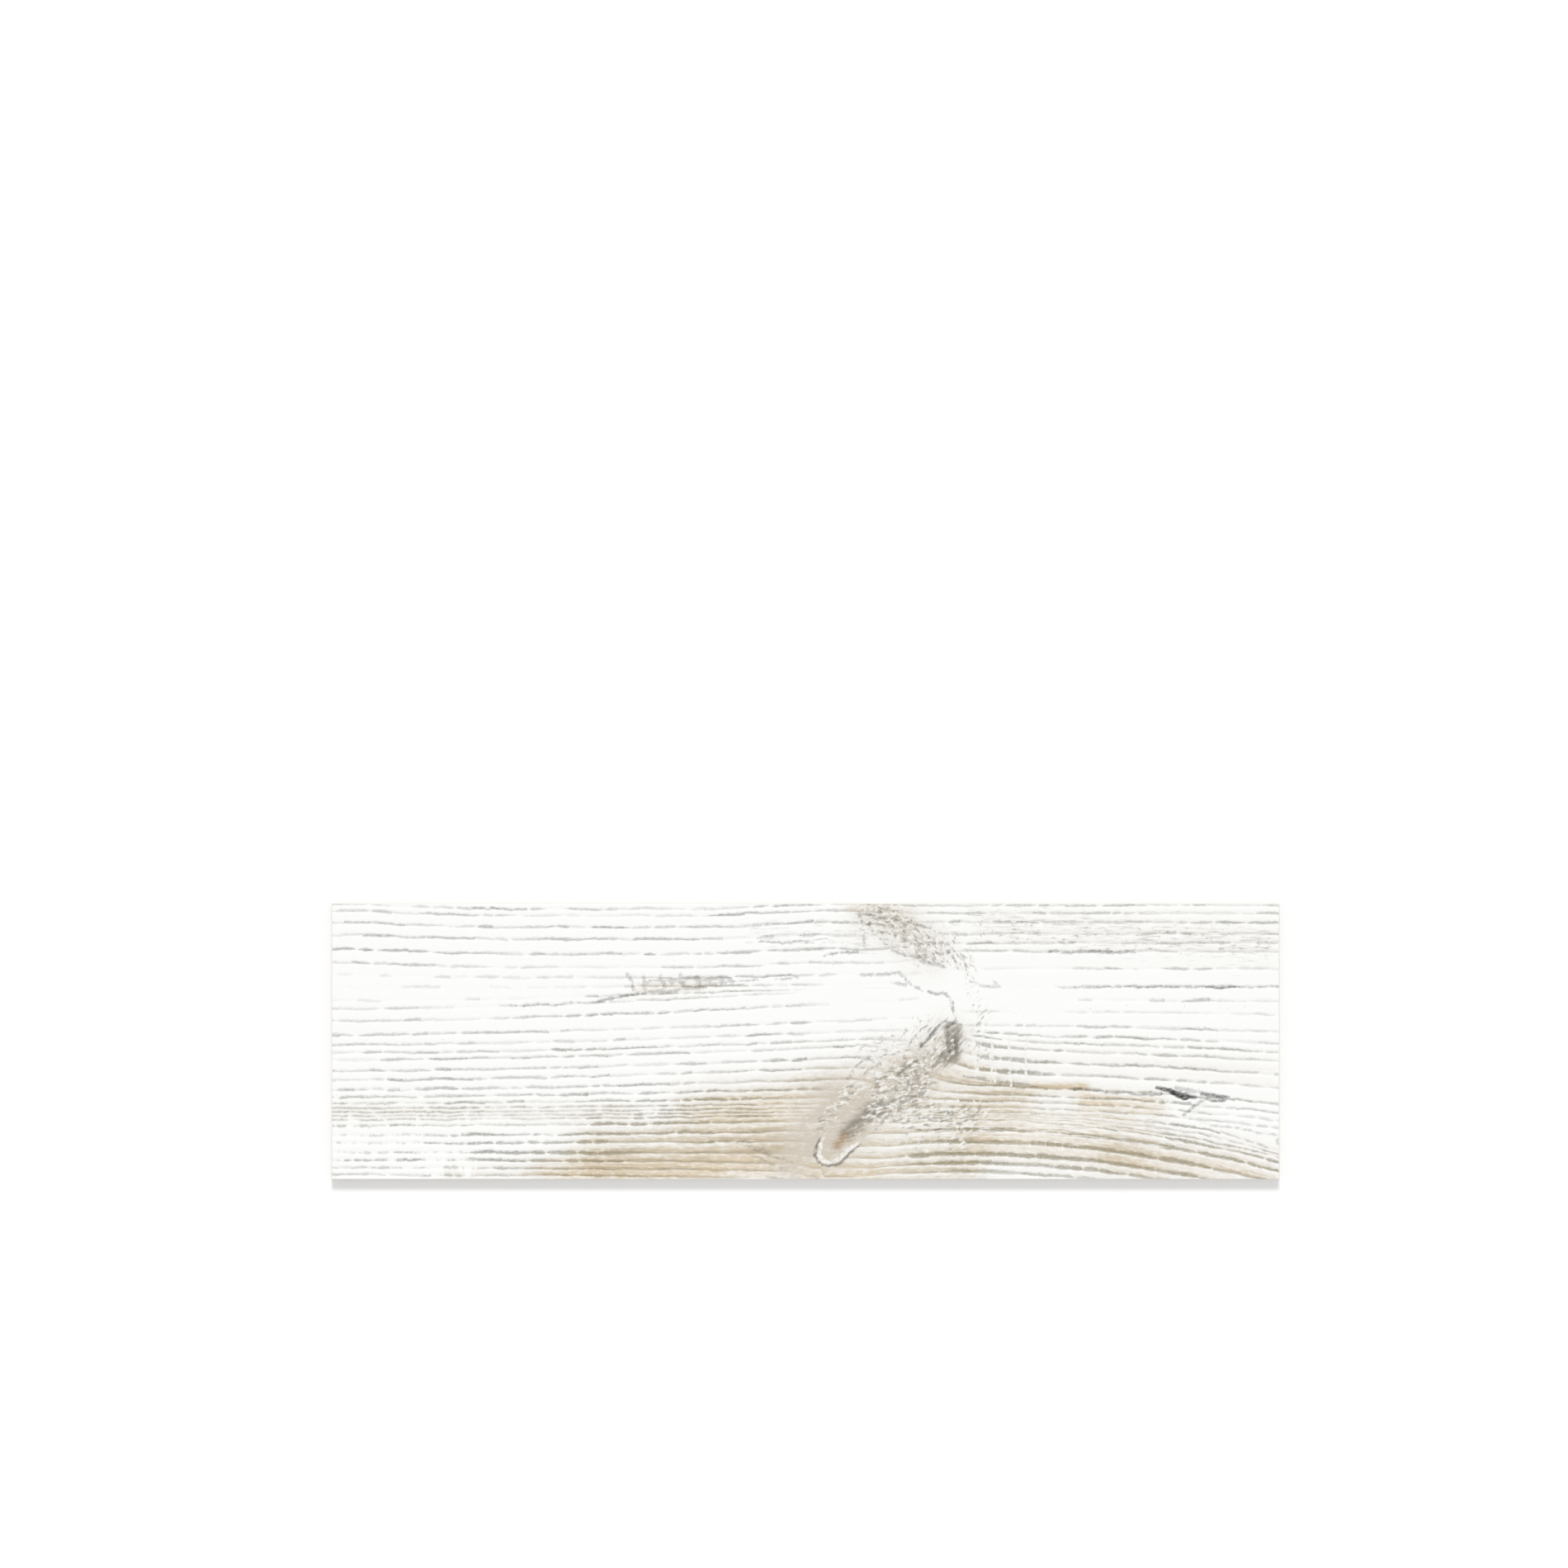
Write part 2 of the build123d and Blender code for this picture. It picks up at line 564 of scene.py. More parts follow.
# %% [markdown]
# ## Single marks
# Some marks belong to no ring: the crack, the pointed arch of a ring that the saw just touched, the outline
# of the branch. Each is a brush stroke from one point to another with a bend, a half width and a strength.
# What the mesh keeps is how deep inside a stroke each point lies, because that varies evenly between points,
# so that the edge of a stroke comes out sharper than the grid.

# %% Crack, long line and pointed arch
def chain(half, strength, *route):
    """Straight strokes of one half width and strength from point to point of a route."""
    return [(*start, *stop, 0, half, strength) for start, stop in zip(route, route[1:])]


CRACK = [
    (221.4, -29.8, 247.5, -36.0, 0.6, 1.6, 0.86), (230, -31.4, 242, -35.6, 0, 2.2, 1.0),
    (234, -28.8, 250, -32.2, 0, 1.4, 0.35),
    (250, -33.5, 268, -35.6, 0.5, 1.3, 0.72), (253, -36.4, 266, -37.2, -0.5, 0.9, 0.68),
    (251.7, -37.6, 238.6, -46.5, 0, 1.2, 0.45)]
LONG_LINE = [
    (158.7, 34.5, 200, 34.5, 0, 0.6, 0.30), (192, 34.5, 300, 34.5, 0, 0.6, 0.42),
    (253.5, 34.3, 273, 34.3, 0, 0.7, 0.88)]
POINTED_ARCH = [
    (-188.5, 22.5, -133, 25.2, -0.5, 0.6, 0.42), (-136, 25, -104, 31.5, -1.0, 0.8, 0.50),
    (-113.8, 43.9, -108.6, 29.5, 2.0, 1.1, 0.36), (-110, 30, -45, 38.2, -1.0, 1.2, 0.36),
    (-100, 38, -45, 38.8, 1.0, 1.2, 0.34), (-103, 41.5, -101, 33, 0, 1.3, 0.30),
    (-91.5, 43, -89, 33, 0, 1.4, 0.36), (-85, 40.5, -83.5, 35, 0, 1.2, 0.30),
    (-79.5, 42.5, -77, 35, 0, 1.4, 0.36), (-69.5, 41, -67, 36, 0, 1.4, 0.36),
    (-61.5, 40, -60, 37, 0, 1.3, 0.34), (-45, 38.6, -29, 38.6, 0, 0.5, 0.42),
    (-18.8, 39.7, -4.7, 39.7, 0, 0.5, 0.38)]
print(f"{len(CRACK)} strokes for the crack, {len(POINTED_ARCH)} for the arch")

# %% Strokes round the branch and the knots
TORN_OUTLINE = (
    chain(1.1, 0.38, (35, 42.3), (43.3, 41.8), (59, 44.1), (62.7, 40.2), (68.4, 35), (74.2, 32.4))
    + chain(0.9, 0.34, (54.3, 37), (63, 35), (66, 37))
    + chain(1.0, 0.48, (77.8, 32.4), (83.6, 29.2), (87.2, 30.8), (93, 25.6), (94.5, 14))
    + chain(0.8, 0.28, (104, 38), (112, 35), (124, 35.5), (118, 38.5)))
BRANCH_EDGES = (
    chain(1.0, 0.60, (87.2, 12.5), (71.5, -5.2)) + chain(0.9, 0.52, (72, -10), (68.4, -14), (58, -21.5))
    + chain(1.5, 0.32, (75.7, -31.3), (68, -36), (57.5, -40.2)) + chain(0.8, 0.32, (57.5, -40.5), (44, -56))
    + chain(1.4, 0.42, (89.5, 11), (91, -9)) + chain(1.2, 0.36, (96.3, 8), (95, -7))
    + chain(0.9, 0.45, (88, 12), (98, 11)) + chain(1.2, 0.42, (88, -8), (80, -17))
    + chain(0.9, 0.42, (41, -9.5), (31.5, -16), (26, -24)) + chain(0.8, 0.38, (48, -13), (37, -21)))
UPPER_KNOT = (
    chain(0.9, 0.42, (33, 81), (56, 77), (79, 72)) + chain(1.0, 0.42, (54, 58), (64.8, 53.3), (78, 53.3))
    + chain(1.6, 0.32, (73, 52), (88, 47)) + chain(0.8, 0.42, (34, 80), (36.5, 73))
    + chain(0.8, 0.40, (40.2, 75.7), (43.3, 67.4)) + chain(0.8, 0.36, (46, 65.8), (51.7, 61))
    + chain(0.8, 0.36, (36, 67.4), (38.6, 58)) + chain(0.9, 0.42, (87.2, 62), (91, 54.3))
    + chain(0.9, 0.42, (92, 57.4), (96, 47)) + chain(0.8, 0.36, (99.2, 54.3), (101.8, 48))
    + chain(0.9, 0.50, (12.5, 54.6), (34, 57.2)) + chain(0.8, 0.45, (-29.2, 62.7), (4.7, 63)))
STRONG_ROWS = [
    (154.6, 56.9, 208.4, 56.4, 0, 1.1, 0.45), (167.6, -29.9, 175, -29.9, 0, 0.9, 0.65),
    (100, -21.5, 147, -28.2, -0.8, 0.9, 0.42),
    (178, -31.0, 225.6, -34, 0, 0.8, 0.50), (250, -52.3, 299, -60, 0.8, 0.7, 0.32),
    (-37, -66.8, -8.4, -76.8, 0, 0.8, 0.32),
    (-33, -72.5, -12, -81, 0, 0.8, 0.30), (-46, -63, -22, -70, 0, 0.7, 0.26)]
DARK_STROKES = CRACK + LONG_LINE + POINTED_ARCH + TORN_OUTLINE + BRANCH_EDGES + UPPER_KNOT + STRONG_ROWS
PALE_STROKES = (
    chain(1.3, 1.0, (254.5, -38.5), (241, -48)) + chain(1.0, 1.0, (227, -33), (229, -45))
    + chain(1.3, 1.0, (106, 6), (108, -22)) + chain(1.3, 1.0, (117, 4), (119, -26))
    + chain(1.1, 1.0, (129, 2), (130, -28)) + chain(1.0, 1.0, (140, 4), (139, -24)))
print(f"{len(DARK_STROKES)} dark strokes and {len(PALE_STROKES)} pale ones")

# %% [markdown]
# A ruled line would look drawn, so each stroke trembles a little, as if the face under it were shaken: its
# points are moved by slow waves, about 20 to 60 mm long, before the distance to the stroke is taken. A stroke
# is full in its middle and thinner at its ends, as a brush leaves it.

# %% Depth inside the strokes
OUTSIDE = -6.0
TREMBLE = 0.45
END_SHARE = 0.55

shaken_x = face_x + TREMBLE * np.sin(0.33 * face_y + 0.21 * face_x)
shaken_y = face_y + TREMBLE * np.sin(0.27 * face_x + 0.8 * np.sin(0.11 * face_x - 0.3 * face_y))


def turned(centre, degrees, x=face_x, y=face_y):
    """Distances along and across a line through a centre, turned from the plank's length."""
    c = math.cos(math.radians(degrees))
    s = math.sin(math.radians(degrees))
    return (x - centre[0]) * c + (y - centre[1]) * s, (y - centre[1]) * c - (x - centre[0]) * s


def depth_in_stroke(x0, y0, x1, y1, bend, half):
    """How deep inside a brush stroke each point of the face lies, in millimetres. It is negative outside."""
    run = math.hypot(x1 - x0, y1 - y0)
    along, across = turned((x0, y0), math.degrees(math.atan2(y1 - y0, x1 - x0)), shaken_x, shaken_y)
    share = np.clip(along / run, 0, 1)
    belly = 4 * share * (1 - share)
    width = half * (END_SHARE + (1 - END_SHARE) * np.sqrt(belly))
    return width - np.hypot(across - bend * belly, along - share * run)


dark = np.full_like(face_x, OUTSIDE)
darkness = np.zeros_like(face_x)
for *stroke, strength in DARK_STROKES:
    depth = depth_in_stroke(*stroke)
    darkness = np.where(depth > dark, strength, darkness)
    dark = np.maximum(dark, depth)
pale = np.full_like(face_x, OUTSIDE)
for *stroke, strength in PALE_STROKES:
    pale = np.maximum(pale, depth_in_stroke(*stroke))
print(f"dark strokes reach {np.mean(dark > 0):.1%} of the face")

# %% [markdown]
# ## The end of the branch
# Where the saw cut the branch at a slant, its end shows as a loop: a pale rim with a dark line outside it,
# round at its tip, widening along the branch and open towards the upper right. One distance, from a line that
# starts at the middle of the tip and runs along the branch, gives both.

# %% Loop at the branch's end
LOOP_TIP = (15.8, -69.3)
LOOP_RADIUS = 7.4
LOOP_FLARE = 0.18
LOOP_TURN = 53
LOOP_RIM = 1.2
LOOP_LINE = 1.0
LOOP_LINE_OFF = 1.8 * LOOP_RIM
LOOP_DARKNESS = 0.65
FADE_FROM = 6
FADE_TO = 44
FADE_DEPTH = 5
UPPER_SIDE_LEAD = 10

along, across = turned(LOOP_TIP, LOOP_TURN, shaken_x, shaken_y)
loop_gap = np.hypot(np.minimum(along, 0), across) - LOOP_RADIUS - LOOP_FLARE * np.maximum(along, 0)
fade = FADE_DEPTH * ease(along + np.clip(across, 0, UPPER_SIDE_LEAD), FADE_FROM, FADE_TO)
pale = np.maximum(pale, LOOP_RIM - np.abs(loop_gap) - fade)
loop_line = LOOP_LINE - np.abs(loop_gap - LOOP_LINE_OFF) - fade
darkness = np.where(loop_line > dark, LOOP_DARKNESS, darkness)
dark = np.maximum(dark, loop_line)
print(f"loop {2 * LOOP_RADIUS} mm wide at {LOOP_TURN} degrees")

# %% [markdown]
# Flecks lie along the fibres, which turn in and around a knot, so the flecks get coordinates of their own.
# They are turned with the branch at its upper end and lie nearly level lower down. In the upper knot they
# follow arcs, and in the rest of the upper face they run along the plank.

# %% Fleck directions
BRANCH_TURN = 48
STEM_TURN = 14
BRANCH_FROM = 62
UPPER_KNOT_CENTRE = (64.8, 64.8)
UPPER_KNOT_TURN = -25
UPPER_KNOT_FROM = 34
UPPER_KNOT_REACH = 50
UPPER_KNOT_ARC = 140
UPPER_KNOT_SHORTENING = 1.4

in_branch = face_x + face_y > BRANCH_FROM
lower_flecks = np.where(in_branch, turned((0, 0), BRANCH_TURN), turned((0, 0), STEM_TURN))
along, across = turned(UPPER_KNOT_CENTRE, UPPER_KNOT_TURN)
knot_flecks = UPPER_KNOT_SHORTENING * along, across + along * along / UPPER_KNOT_ARC
in_knot = np.abs(face_x - UPPER_KNOT_CENTRE[0]) < UPPER_KNOT_REACH
upper_flecks = np.where(in_knot, knot_flecks, (face_x, face_y))
fleck_along, fleck_across = np.where(face_y > UPPER_KNOT_FROM, upper_flecks, lower_flecks)
print(f"flecks turned by {BRANCH_TURN} degrees in the branch and {UPPER_KNOT_TURN} in the upper knot")

# %% [markdown]
# ## Relief
# The face is not only printed. The upper punch presses the grain in, so that light catches it. Each point of
# the face gets a weight from the nearest ring and stroke, and a Displace modifier lowers it by that weight.
# The fields are also kept on the mesh as attributes, so that the material can draw with the same numbers.

# %% Press the grain in
RELIEF_DEPTH = 0.3
RING_SHARE = 0.5
GROOVE = 1.1
STROKE_BANK = 0.6
SMOOTH_ANGLE = 40

ring_gap = np.abs(ring - np.round(ring)) * ring_width
ring_groove = RING_SHARE * np.exp(-(ring_gap / GROOVE) ** 2) * np.clip(ink, 0, 1)
stroke_groove = ease(dark, -STROKE_BANK, STROKE_BANK) * darkness
weight = np.clip(np.maximum(ring_groove, stroke_groove), 0, 1)
group = tile.vertex_groups.new(name="pressed_grain")
for index, amount in enumerate(weight):
    group.add([index], float(amount), "REPLACE")
press = tile.modifiers.new("pressed_grain", "DISPLACE")
press.vertex_group = group.name
press.direction = "Z"
press.mid_level = 0
press.strength = -RELIEF_DEPTH * MM
bpy.ops.object.select_all(action="DESELECT")
tile.select_set(True)
bpy.context.view_layer.objects.active = tile
bpy.ops.object.modifier_apply(modifier=press.name)
bpy.ops.object.shade_smooth_by_angle(angle=math.radians(SMOOTH_ANGLE))
relief = weight * RELIEF_DEPTH
print(f"relief up to {relief.max():.2f} mm deep, {relief.mean():.3f} mm on average")


# %% Keep the fields on the mesh
def store(name, *fields):
    """Keeps three fields of the face as one attribute of the mesh, 0 on the sides and back."""
    values = np.zeros((len(points), 3), dtype=np.float32)
    values[:FACE_POINTS] = np.column_stack(fields)
    tile.data.attributes.new(name, "FLOAT_VECTOR", "POINT").data.foreach_set("vector", values.ravel())


store("grain", ring, ring_width, ink)
store("flow", flow_depth, dark_thread, pale_thread)
store("tone", stain, knotwood, flake)
store("fleck", fleck_along, fleck_across, speckle)
store("shade", heart, dusk, pale)
store("stroke", dark, darkness, warmth)
print("attributes:", ", ".join(a.name for a in tile.data.attributes if a.data_type == "FLOAT_VECTOR"))

# %% [markdown]
# ## Printed glaze
# The face is a matt glaze with the board printed under it. To the eye it is a chalky white with soft grey
# lines, and it keeps a low sheen even over the dark marks. Each layer of paint below is one pattern laid over
# the last: stain, threads, ring lines, knots, strokes, and at the end the flakes of whitewash over them all.
#
# Two functions draw nearly every layer, both from noise of a size in millimetres, given as its length along
# the pattern and its width across it. Streaks have edges: an amount lifts the noise over a level, and the
# more of it a place has, the more of it they cover. A wash has none: the noise only thins and thickens it.

# %% Streaks and washes
STREAK_REACH = 0.5
STREAK_LEVEL = 0.85
FIBRE = (5.0, 1.6)
FIBRE_CONTRAST = 0.6

glaze, tree, end = new_material("printed_matt_glaze")


def noise_of(spot, size, seed=0, detail=4):
    """Noise with features of a size in millimetres. The seed moves it to another place."""
    scale = (1 / size[0], 1 / size[1], 0)
    spot = put(tree, "Mapping", {"Vector": spot, "Location": (seed, -seed, 0), "Scale": scale})
    return put(tree, "TexNoise", {"Vector": spot, "Scale": 1, "Detail": detail, "Roughness": 0.6})


def streaks(spot, size, amount, seed, edge=0.12, cover=1.0, detail=4):
    """Cover of streaks of a size in millimetres. Their share of the surface follows the amount."""
    noise = noise_of(spot, size, seed, detail)
    level = put(tree, "Math", {0: amount, 1: STREAK_REACH + edge, 2: noise}, operation="MULTIPLY_ADD")
    span = {"From Min": STREAK_LEVEL, "From Max": STREAK_LEVEL + edge, "To Max": cover}
    return put(tree, "MapRange", {"Value": level, **span})


def wash_over(spot, size, amount, seed, contrast=0.5):
    """Cover of a soft wash, thinned and thickened by noise of a size in millimetres and by the fibres."""
    for patch, depth in ((size, contrast), (FIBRE, FIBRE_CONTRAST)):
        span = {"From Min": 0.3, "From Max": 0.7, "To Min": 1 - depth, "To Max": 1 + depth}
        thickness = put(tree, "MapRange", {"Value": noise_of(spot, patch, seed), **span})
        amount = put(tree, "Math", {0: thickness, 1: amount}, operation="MULTIPLY", use_clamp=True)
    return amount


print(f"fibres {FIBRE[0]} mm long and {FIBRE[1]} mm wide")


# %% Read the fields back
def field(name):
    """The three columns of one attribute of the mesh."""
    parts = tree.nodes.new("ShaderNodeSeparateXYZ")
    tree.links.new(put(tree, "Attribute", {}, out="Vector", attribute_name=name), parts.inputs[0])
    return parts.outputs


coordinates = put(tree, "TexCoord", {}, out="Object")
place = put(tree, "VectorMath", {0: coordinates, "Scale": 1 / MM}, operation="SCALE")
along_plank = put(tree, "SeparateXYZ", {0: place}, out="X")
ring_at, ring_mm, ink_at = field("grain")
depth_at, dark_thread_at, pale_thread_at = field("flow")
stain_at, knotwood_at, flake_at = field("tone")
fleck_u, fleck_v, speckle_at = field("fleck")
heart_at, dusk_at, pale_at = field("shade")
dark_at, darkness_at, warmth_at = field("stroke")
flow_place = put(tree, "CombineXYZ", {0: along_plank, 1: depth_at})
fleck_place = put(tree, "CombineXYZ", {0: fleck_u, 1: fleck_v})
print("fields read back:", len(tree.nodes), "nodes so far")

# %% [markdown]
# A ring line is a chain of short dashes, each with its own slope, width and strength. The place along the
# line is counted in dashes, and white noise, which gives one random colour to each pair of dash and ring,
# sets the three. Another number for each joint lets some dashes run together. The line wanders a little, the
# dashes drift in length, and a soft noise along the plank lets whole stretches swell and fade.

# %% Wander of the rings
WANDER = 2.4
WANDER_SIZE = (24, 10)

wander_scale = (1 / WANDER_SIZE[0], 1 / WANDER_SIZE[1], 0)
wander_spot = put(tree, "Mapping", {"Vector": place, "Scale": wander_scale})
wander = put(tree, "TexNoise", {"Vector": wander_spot, "Scale": 1, "Detail": 1})
wander_mm = put(tree, "Math", {0: wander, 1: WANDER, 2: -WANDER / 2}, operation="MULTIPLY_ADD")
wander_rings = put(tree, "Math", {0: wander_mm, 1: ring_mm}, operation="DIVIDE")
ring_here = put(tree, "Math", {0: ring_at, 1: wander_rings}, operation="ADD")
nearest = put(tree, "Math", {0: ring_here}, operation="ROUND")
print("rings wander by up to", WANDER / 2, "mm")

# %% Dashes along the rings
DASH = 15.0
DRIFT = 5.0
DRIFT_SIZE = 45
RINGS_APART = 3.7

ring_row = put(tree, "Math", {0: nearest, 1: RINGS_APART}, operation="MULTIPLY")
row_place = put(tree, "CombineXYZ", {0: along_plank, 1: ring_row})
drift_spot = put(tree, "Mapping", {"Vector": row_place, "Scale": (1 / DRIFT_SIZE, 1, 0)})
drift = put(tree, "TexNoise", {"Vector": drift_spot, "Scale": 1, "Detail": 1})
drift_dashes = put(tree, "Math", {0: drift, 1: DRIFT}, operation="MULTIPLY")
dash_count = put(tree, "Math", {0: along_plank, 1: 1 / DASH, 2: drift_dashes}, operation="MULTIPLY_ADD")
dash_number = put(tree, "Math", {0: dash_count}, operation="FLOOR")
dash_share = put(tree, "Math", {0: dash_count}, operation="FRACT")
print("dashes of", DASH, "mm, drifting by up to", DRIFT, "dashes")

# %% Random numbers of the dashes
SWELL_SIZE = 90
SWELL_SHIFT = (31, 7, 0)

dash_cell = put(tree, "CombineXYZ", {0: dash_number, 1: nearest})
dash_random = put(tree, "TexWhiteNoise", {"Vector": dash_cell}, out="Color", noise_dimensions="2D")
dash_parts = tree.nodes.new("ShaderNodeSeparateXYZ")
tree.links.new(dash_random, dash_parts.inputs[0])
slope_random, width_random, show_random = dash_parts.outputs
joint_number = put(tree, "Math", {0: dash_count}, operation="ROUND")
joint_cell = put(tree, "CombineXYZ", {0: joint_number, 1: nearest, 2: 1.0})
joint_random = put(tree, "TexWhiteNoise", {"Vector": joint_cell})
swell_scale = (1 / SWELL_SIZE, 1, 0)
swell_spot = put(tree, "Mapping", {"Vector": row_place, "Location": SWELL_SHIFT, "Scale": swell_scale})
swell = put(tree, "TexNoise", {"Vector": swell_spot, "Scale": 1, "Detail": 1})
print("lines swell and fade over about", SWELL_SIZE, "mm")

# %% [markdown]
# Each dash leans a little on its ring and has a ragged edge. It fades more softly upwards than downwards, as
# late wood does. Where the ink is strong, the dashes are bold, blunt and nearly straight.

# %% Distance from the dashes
BOLD_FROM = 0.95
BOLD_TO = 1.35
DASH_SLOPE = 1.8
BOLD_SLOPE_SHARE = 0.3
UPPER_SOFTNESS = 0.6
RAG = (3.4, 1.4)
RAG_DEPTH = 1.6

boldness = put(tree, "MapRange", {"Value": ink_at, "From Min": BOLD_FROM, "From Max": BOLD_TO})
off_rings = put(tree, "Math", {0: ring_here, 1: nearest}, operation="SUBTRACT")
off_line = put(tree, "Math", {0: off_rings, 1: ring_mm}, operation="MULTIPLY")
from_middle = put(tree, "Math", {0: dash_share, 1: 0.5}, operation="SUBTRACT")
lean = put(tree, "MapRange", {"Value": slope_random, "To Min": -DASH_SLOPE / 2, "To Max": DASH_SLOPE / 2})
lean_share = put(tree, "MapRange", {"Value": boldness, "To Min": 1, "To Max": BOLD_SLOPE_SHARE})
lean = put(tree, "Math", {0: lean, 1: lean_share}, operation="MULTIPLY")
off_dash = put(tree, "Math", {0: from_middle, 1: lean, 2: off_line}, operation="MULTIPLY_ADD")
above = put(tree, "Math", {0: off_dash, 1: -UPPER_SOFTNESS}, operation="MULTIPLY")
gap = put(tree, "Math", {0: off_dash, 1: above}, operation="MAXIMUM")
rag = noise_of(place, RAG)
rag_mm = put(tree, "Math", {0: rag, 1: RAG_DEPTH, 2: -RAG_DEPTH / 2}, operation="MULTIPLY_ADD")
ragged = put(tree, "Math", {0: gap, 1: rag_mm}, operation="ADD")
print("dashes lean by up to", DASH_SLOPE / 2, "mm")

# %% Width of the dashes
LINE_HALF = 0.65
BOLD_HALF = 1.2
LINE_TAPER = 0.4
BOLD_TAPER = 0.15
MERGED = 0.45
PARTED = 0.65
NOTCH = 0.45
CROWDED = 1.5
ROOMY = 5
PINCH = (5, 1)
SLIT = 0.7

to_end = put(tree, "Math", {0: from_middle, 1: from_middle}, operation="MULTIPLY")
belly = put(tree, "MapRange", {"Value": to_end, "From Max": 0.25, "To Min": 1, "To Max": 0})
sharpness = put(tree, "MapRange", {"Value": boldness, "To Min": LINE_TAPER, "To Max": BOLD_TAPER})
taper = put(tree, "Math", {0: belly, 1: sharpness}, operation="POWER")
parted = put(tree, "MapRange", {"Value": joint_random, "From Min": MERGED, "From Max": PARTED})
notched = put(tree, "Math", {0: boldness, 1: NOTCH}, operation="MULTIPLY")
parted = put(tree, "Math", {0: parted, 1: notched}, operation="MAXIMUM")
taper = put(tree, "Mix", {"Factor": parted, "A": 1.0, "B": taper}, data_type="FLOAT")
half = put(tree, "MapRange", {"Value": boldness, "To Min": LINE_HALF, "To Max": BOLD_HALF})
crowding = put(tree, "MapRange", {"Value": ring_mm, "From Min": CROWDED, "From Max": ROOMY, "To Min": 0.5})
plump = put(tree, "MapRange", {"Value": width_random, "To Min": 0.8, "To Max": 1.15})
for share in (taper, crowding, plump):
    half = put(tree, "Math", {0: half, 1: share}, operation="MULTIPLY")
pinch_span = {"From Min": 0.3, "From Max": 0.7, "To Min": -0.2, "To Max": 0.15}
pinch_mm = put(tree, "MapRange", {"Value": noise_of(row_place, PINCH, 5), **pinch_span})
slit_mm = put(tree, "MapRange", {"Value": taper, "To Min": -SLIT, "To Max": 0})
for change in (pinch_mm, slit_mm):
    half = put(tree, "Math", {0: half, 1: change}, operation="ADD")
print("ring lines", 2 * LINE_HALF, "to", 2 * BOLD_HALF, "mm wide")

# %% Ring lines
LINE_EDGE = {"From Min": -0.5, "From Max": 0.55}
DASH_CHANCE = 0.6
SWELL_CHANCE = 1.2
HIDDEN = 1.1
FULL = 2.1
LINE_COVER = 0.78
TOOTH = (2.6, 1.3)

inside = put(tree, "Math", {0: half, 1: ragged}, operation="SUBTRACT")
line = put(tree, "MapRange", {"Value": inside, **LINE_EDGE}, interpolation_type="SMOOTHSTEP")
show = put(tree, "Math", {0: show_random, 1: DASH_CHANCE, 2: ink_at}, operation="MULTIPLY_ADD")
strength = put(tree, "Math", {0: swell, 1: SWELL_CHANCE, 2: show}, operation="MULTIPLY_ADD")
visible_span = {"From Min": HIDDEN, "From Max": FULL, "To Max": LINE_COVER}
visible = put(tree, "MapRange", {"Value": strength, **visible_span})
line = put(tree, "Math", {0: line, 1: visible}, operation="MULTIPLY")
tooth_span = {"From Min": 0.35, "From Max": 0.65, "To Min": 0.75, "To Max": 1.15}
tooth = put(tree, "MapRange", {"Value": noise_of(place, TOOTH, 50), **tooth_span})
line = put(tree, "Math", {0: line, 1: tooth}, operation="MULTIPLY", use_clamp=True)
print("ring lines drawn:", len(tree.nodes), "nodes so far")

# %% [markdown]
# Stain darkens towards each line from above, as late wood does, and resin draws thin brown streaks in it.
# Fine threads of white run through the stain, and grey ones lie thinly over the whole board.

# %% Stain, threads and lines
WHITEWASH = "#FEFEFC"
STAIN_GREY = "#DAD0BE"
STAIN_WARM = "#DECCAF"
RESIN = "#B9A98C"
THREAD_GREY = "#A6A398"
GRAIN_GREY = "#94948D"
GRAIN_BROWN = "#958B70"
STAIN_SIZE = (70, 4)
RESIN_SIZE = (28, 1.3)
DARK_THREAD_SIZE = (14, 1.2)
PALE_THREAD_SIZE = (12, 1.1)
RIPENING = {"From Min": 0.15, "To Min": 0.25, "To Max": 1.42}
WARM_EVENNESS = 0.5
RESIN_SHARE = 0.5
BROWNING = 1.6

phase = put(tree, "Math", {0: ring_here}, operation="FRACT")
ripening = put(tree, "MapRange", {"Value": phase, **RIPENING})
evenness = put(tree, "Math", {0: warmth_at, 1: WARM_EVENNESS}, operation="MULTIPLY", use_clamp=True)
ripening = put(tree, "Mix", {"Factor": evenness, "A": ripening, "B": 1.0}, data_type="FLOAT")
stain_here = put(tree, "Math", {0: stain_at, 1: ripening}, operation="MULTIPLY")
stain_cover = wash_over(flow_place, STAIN_SIZE, stain_here, 0, contrast=0.4)
stain_ends = {UNDER: linear(STAIN_GREY), OVER: linear(STAIN_WARM)}
stain_tint = put(tree, "Mix", {"Factor": warmth_at, **stain_ends}, **BLEND)
resin_share = put(tree, "Math", {0: stain_here, 1: RESIN_SHARE}, operation="MULTIPLY")
resin = streaks(flow_place, RESIN_SIZE, resin_share, 17, edge=0.2, cover=0.75)
dark_threads = streaks(flow_place, DARK_THREAD_SIZE, dark_thread_at, 5, cover=0.45)
browning = put(tree, "Math", {0: stain_at, 1: BROWNING}, operation="MULTIPLY", use_clamp=True)
line_ends = {UNDER: linear(GRAIN_GREY), OVER: linear(GRAIN_BROWN)}
line_tint = put(tree, "Mix", {"Factor": browning, **line_ends}, **BLEND)
pale_threads = streaks(flow_place, PALE_THREAD_SIZE, pale_thread_at, 11, edge=0.16, cover=0.85)

colour = linear(WHITEWASH)
for cover, tint in ((stain_cover, stain_tint), (resin, linear(RESIN)), (dark_threads, linear(THREAD_GREY)),
                    (line, line_tint), (pale_threads, linear(WHITEWASH))):
    colour = put(tree, "Mix", {"Factor": cover, UNDER: colour, OVER: tint}, **BLEND)
print("stain, threads and lines laid:", len(tree.nodes), "nodes so far")

